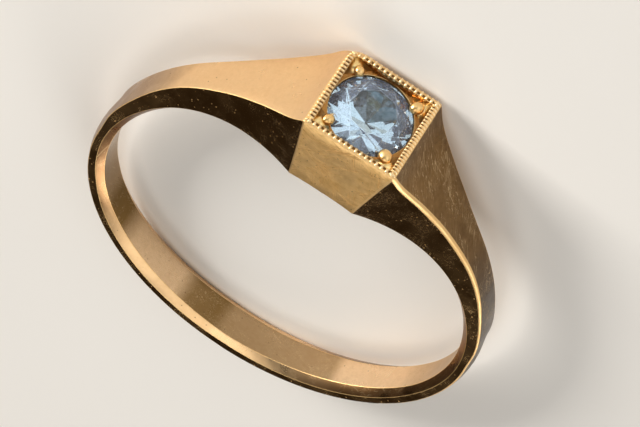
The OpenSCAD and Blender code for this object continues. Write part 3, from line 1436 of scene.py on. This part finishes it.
@dataclass
class MilledBorder:
    """Rows of fine milled teeth on the border round the stone."""

    sizes: RingSizes
    sides: tuple[Milling, ...] = (
        Milling(0, 0.17, 0.13, 0.235),
        Milling(90, 0.145, 0.155, 0.165),
        Milling(180, 0.155, 0.15, 0.235),
        Milling(270, 0.145, 0.16, 0.185),
    )
    land: float = 0.34
    height: float = 0.15
    over_table: float = 0.015
    squareness: float = 0.5

    def tooth(self, bm: bmesh.types.BMesh, side: Milling, matrix: Matrix) -> None:
        """Adds one tooth, a rounded block.

        Args:
            bm: Mesh of the border.
            side: Milling of the side that it belongs to.
            matrix: Place of the tooth, with its length across the border along Z.
        """
        pole = 1e-6
        made = bmesh.ops.create_uvsphere(bm, u_segments=12, v_segments=8, radius=1.0)
        for vert in made["verts"]:
            x, y, z = vert.co
            z = math.copysign(abs(z) ** self.squareness, z)
            round_off = math.sqrt(max(0.0, 1 - z**4)) / max(pole, math.hypot(x, y))
            along = round_off * self.land * side.pitch
            vert.co = Vector((x * along, y * round_off * self.height, z * side.across))
        bmesh.ops.transform(bm, matrix=matrix, verts=made["verts"])

    def build(self, materials: Materials) -> bpy.types.Object:
        """Builds all the teeth.

        Args:
            materials: Finish of the teeth.

        Returns:
            The finished piece.
        """
        s = self.sizes
        piece = Piece("milled_border")
        for side in self.sides:
            turn = Matrix.Rotation(math.radians(side.turn), 4, "Y")
            half = s.head_l / 2 - side.inset
            count = math.floor(2 * half / side.pitch)
            for i in range(count + 1):
                place = Vector((2 * half * i / count - half, s.table_y + self.over_table - self.height, half))
                self.tooth(piece.bm, side, turn @ Matrix.Translation(place))
        CornerWear(s).rub(piece.bm.verts)
        made = piece.finish(materials)
        return made


@dataclass(frozen=True)
class Grain:
    """One grain: its turn round the stone in degrees, its diameter and its distance from the stone's axis."""

    turn: float
    diameter: float
    away: float


@dataclass
class CornerGrains:
    """Four grains that hold the stone, each at the end of a cut ridge from the recess corner."""

    sizes: RingSizes
    below_table: float = 0.24
    stretch: float = 1.15
    facet_reach: float = 0.95
    ridge_reach: float = 0.75
    ridge_rise: float = 0.14
    ridge_slot: int = 1
    grains: tuple[Grain, ...] = (
        Grain(45, 0.56, 1.98),
        Grain(135, 0.44, 1.96),
        Grain(225, 0.50, 1.93),
        Grain(315, 0.59, 1.95),
    )

    def build(self, materials: Materials) -> bpy.types.Object:
        """Builds the four corners as one piece.

        Args:
            materials: Finish of the grains and of the cut ridges.

        Returns:
            The finished piece.
        """
        piece = Piece("corner_grains")
        height = self.sizes.table_y - self.below_table
        size = Matrix.Diagonal((self.stretch, 1, 1, 1))
        for grain in self.grains:
            turn = Matrix.Rotation(math.radians(grain.turn), 4, "Y")
            matrix = turn @ Matrix.Translation((grain.away, height, 0)) @ size @ ON_HEAD
            radius = grain.diameter / 2
            bmesh.ops.create_uvsphere(piece.bm, u_segments=24, v_segments=16, radius=radius, matrix=matrix)
            self.ridge(piece.bm, turn)
        bmesh.ops.recalc_face_normals(piece.bm, faces=piece.bm.faces[:])
        made = piece.finish(materials)
        return made

    def ridge(self, bm: bmesh.types.BMesh, turn: Matrix) -> None:
        """Adds the two cut facets that meet in a ridge between a grain and its corner.

        Args:
            bm: Mesh of the corners.
            turn: Turn of the corner round the stone.
        """
        s = self.sizes
        corner = s.recess_half * math.sqrt(2)
        side = self.facet_reach / math.sqrt(2)
        low, top = s.floor_y - 0.02, s.strip_y - 0.03
        end = corner - self.facet_reach * self.ridge_reach
        places = (
            (corner, top, 0),
            (corner, low, 0),
            (corner - side, low, side),
            (corner - side, low, -side),
            (end, s.floor_y + self.ridge_rise, 0),
            (end, low, 0),
        )
        verts = [bm.verts.new(turn @ Vector(place)) for place in places]
        made = bmesh.ops.convex_hull(bm, input=verts)
        for item in made["geom"]:
            if isinstance(item, bmesh.types.BMFace):
                item.material_index = self.ridge_slot
                item.smooth = False


@dataclass(frozen=True)
class Facet:
    """Plane of a facet: turn and slope in degrees, height on the stone's axis, and whether it faces up."""

    turn: float
    slope: float
    height: float
    crown: bool


def rise(run: float, slope: float) -> float:
    """Height that a slope in degrees gains over a run."""
    return run * math.tan(math.radians(slope))


@dataclass
class Brilliant:
    """The round stone, cut facet by facet from a short cylinder."""

    sizes: RingSizes
    mains: int = 8
    table_share: float = 0.6
    upper_more: float = 8.0
    star_less: float = 13.0
    lower_more: float = 1.2
    star_inset: float = 0.03
    culet_cut: float = 0.05
    facet_turn: float = 11.25
    pavilion_less: float = 1.0
    round_segments: int = 96
    rubbed_over_girdle: float = 0.06
    rubbed_width: float = 0.018
    least_crease: float = 4.0

    @property
    def pavilion_angle(self) -> float:
        """Slope of the pavilion's main facets, in degrees."""
        return self.sizes.pavilion_angle - self.pavilion_less

    def facets(self) -> list[Facet]:
        """Planes of all facets but the table and the culet.

        Returns:
            The planes in the order in which they are cut.
        """
        s, pavilion = self.sizes, self.pavilion_angle
        radius, step = s.stone_d / 2, FULL_TURN / self.mains
        main = math.degrees(math.atan(s.crown_h / (radius * (1 - self.table_share))))
        star = main - self.star_less
        star_away = (radius * self.table_share - self.star_inset) * math.cos(math.radians(step / 2))
        planes = []
        for i in range(self.mains):
            planes.append(Facet(i * step, main, rise(radius, main), True))
            planes.append(Facet((i + 0.5) * step, star, s.crown_h + rise(star_away, star), True))
            planes.append(Facet(i * step, pavilion, -(s.girdle_h + rise(radius, pavilion)), False))
        upper, lower = main + self.upper_more, pavilion + self.lower_more
        for i in range(2 * self.mains):
            turn = (i + 0.5) * step / 2
            planes.append(Facet(turn, upper, rise(radius, upper), True))
            planes.append(Facet(turn, lower, -s.girdle_h - rise(radius, lower), False))
        return planes

    def cut(self, bm: bmesh.types.BMesh, facet: Facet) -> None:
        """Cuts one facet and closes the stone over it.

        Args:
            bm: Mesh of the stone.
            facet: Plane of the facet.
        """
        turn, slope = math.radians(facet.turn), math.radians(facet.slope)
        up, level = math.cos(slope) if facet.crown else -math.cos(slope), math.sin(slope)
        normal = Vector((level * math.cos(turn), level * math.sin(turn), up))
        place = (0, 0, facet.height)
        whole = bm.verts[:] + bm.edges[:] + bm.faces[:]
        bmesh.ops.bisect_plane(bm, geom=whole, dist=1e-5, plane_co=place, plane_no=normal, clear_outer=True)
        open_edges = [edge for edge in bm.edges if edge.is_boundary]
        if open_edges:
            made = bmesh.ops.contextual_create(bm, geom=open_edges)
            for face in made["faces"]:
                face.material_index = (Cut.CROWN if facet.crown else Cut.PAVILION).value

    def rubbed(self, edge: bmesh.types.BMEdge) -> float:
        """Wear of a facet edge: whole on the crown, none at the girdle and under it."""
        height = (edge.verts[0].co.y + edge.verts[1].co.y) / 2
        return 1.0 if height > self.sizes.girdle_y + self.rubbed_over_girdle else 0.0

    def build(self, materials: Materials) -> bpy.types.Object:
        """Cuts the stone and dresses it.

        Args:
            materials: Finishes of the stone in the order of Cut.

        Returns:
            The finished piece.
        """
        s = self.sizes
        piece = Piece("brilliant")
        radius = s.stone_d / 2
        depth = s.girdle_h + radius * math.tan(math.radians(self.pavilion_angle)) - self.culet_cut
        bmesh.ops.create_cone(
            piece.bm,
            cap_ends=True,
            segments=self.round_segments,
            radius1=radius,
            radius2=radius,
            depth=depth + s.crown_h,
            matrix=Matrix.Translation((0, 0, (s.crown_h - depth) / 2)),
        )
        for face in piece.bm.faces:
            face.material_index = (Cut.PAVILION if face.normal.z < -0.5 else Cut.TABLE).value
        for facet in self.facets():
            self.cut(piece.bm, facet)
        spin = Matrix.Rotation(math.radians(self.facet_turn), 4, "Z")
        turn = Matrix.Translation((0, s.girdle_y, 0)) @ ON_HEAD @ spin
        bmesh.ops.transform(piece.bm, matrix=turn, verts=piece.bm.verts[:])
        piece.close()
        piece.weigh_edges(self.rubbed, self.least_crease)
        made = piece.finish(materials, smooth=False)
        bevel_worn(made, "rubbed_edges", self.rubbed_width, 1, Cut.RUBBED_EDGE.value)
        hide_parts("spinel")
        return made


def towards(azimuth: float, elevation: float) -> Vector:
    """The direction at an azimuth from +X towards +Y and an elevation, both in degrees."""
    a, e = math.radians(azimuth), math.radians(elevation)
    return Vector((math.cos(a) * math.cos(e), math.sin(a) * math.cos(e), math.sin(e)))


WARM = (1.0, 0.95, 0.88)
COOL = (0.93, 0.97, 1.0)


@dataclass(frozen=True)
class Softbox:
    """A soft square light that faces the ring: its angles in degrees, its side in metres, its watts."""

    name: str
    azimuth: float
    elevation: float
    size: float
    power: float
    colour: Colour = WARM
    distance: float = 0.3

    def hang(self) -> None:
        """Hangs the light."""
        data = bpy.data.lights.new(self.name, "AREA")
        data.size = self.size
        data.energy = self.power
        data.color = self.colour
        light = bpy.data.objects.new(self.name, data)
        away = towards(self.azimuth, self.elevation)
        light.location = away * self.distance
        light.rotation_mode = "QUATERNION"
        light.rotation_quaternion = away.to_track_quat("Z", "Y")
        bpy.context.scene.collection.objects.link(light)


@dataclass
class Studio:
    """Floor, lights and camera: angles in degrees, the floor in metres, the rest in millimetres."""

    floor_size: float = 1.6
    world: Colour = (0.018, 0.012, 0.007)
    softboxes: tuple[Softbox, ...] = (
        Softbox("key", 163, 20, 0.12, 1.15),
        Softbox("top", 75, 68, 0.20, 0.18),
        Softbox("front", 60, 14, 0.26, 0.29, COOL),
        Softbox("front_low", 114, 12, 0.17, 0.11, COOL),
        Softbox("back_top", -84, 58, 0.10, 0.165),
        Softbox("bevel_left", 8, 40, 0.22, 0.20),
        Softbox("right_rim", -36, 14, 0.13, 0.30),
    )
    azimuth: float = 90.497
    elevation: float = 33.721
    roll: float = -147.160
    distance: float = 169.6
    aim: Colour = (0.510, -0.537, 0.094)
    lens: float = 220.4
    chip: float = 36.0
    sight: tuple[float, float] = (0.01, 10.0)

    def floor(self) -> None:
        """Lays the floor on which the ring rests."""
        bm = bmesh.new()
        bmesh.ops.create_grid(bm, x_segments=1, y_segments=1, size=self.floor_size / 2)
        Piece.link("floor", bm, [FloorFinish().material()])

    def lights(self) -> None:
        """Sets the world's dim glow and hangs the softboxes."""
        world = bpy.data.worlds.new("studio")
        bpy.context.scene.world = world
        world.use_nodes = True
        world.node_tree.nodes["Background"].inputs["Color"].default_value = rgba(self.world)
        for softbox in self.softboxes:
            softbox.hang()

    def camera(self) -> None:
        """Places the camera at the picture's angle to the ring."""
        data = bpy.data.cameras.new("camera")
        data.lens = self.lens
        data.sensor_width = self.chip
        data.clip_start, data.clip_end = self.sight
        camera = bpy.data.objects.new("camera", data)
        back = towards(self.azimuth, self.elevation)
        camera.location = Vector(self.aim) * MM + back * (self.distance * MM)
        level = back.to_track_quat("Z", "Y").to_matrix().to_4x4()
        roll = Matrix.Rotation(math.radians(self.roll), 4, "Z")
        camera.rotation_mode = "QUATERNION"
        camera.rotation_quaternion = (level @ roll).to_quaternion()
        bpy.context.scene.collection.objects.link(camera)
        bpy.context.scene.camera = camera

    def build(self) -> None:
        """Sets up the whole studio."""
        self.floor()
        self.lights()
        self.camera()
        view = bpy.context.scene.view_settings
        view.view_transform = "Standard"
        view.look = "None"


def write_sizes() -> None:
    """Updates the view layer once all pieces are built."""
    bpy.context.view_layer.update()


def report(piece: bpy.types.Object) -> None:
    """Logs a finished piece."""
    LOG.info("%s: %d faces", piece.name, len(piece.data.polygons))


def main() -> None:
    """Builds the studio and the ring, piece by piece."""
    logging.basicConfig(level=logging.INFO, format="%(name)s: %(message)s")
    Studio().build()
    report(Shank(SIZES).build([GOLD_FINISHES[gold].material() for gold in Gold]))
    report(MilledBorder(SIZES).build([BEAD_FINISH.material()]))
    report(CornerGrains(SIZES).build([GRAIN_FINISH.material(), RIDGE_FINISH.material()]))
    report(Brilliant(SIZES).build([STONE_FINISHES[cut].material() for cut in Cut]))
    write_sizes()


if __name__ == "__main__":
    main()
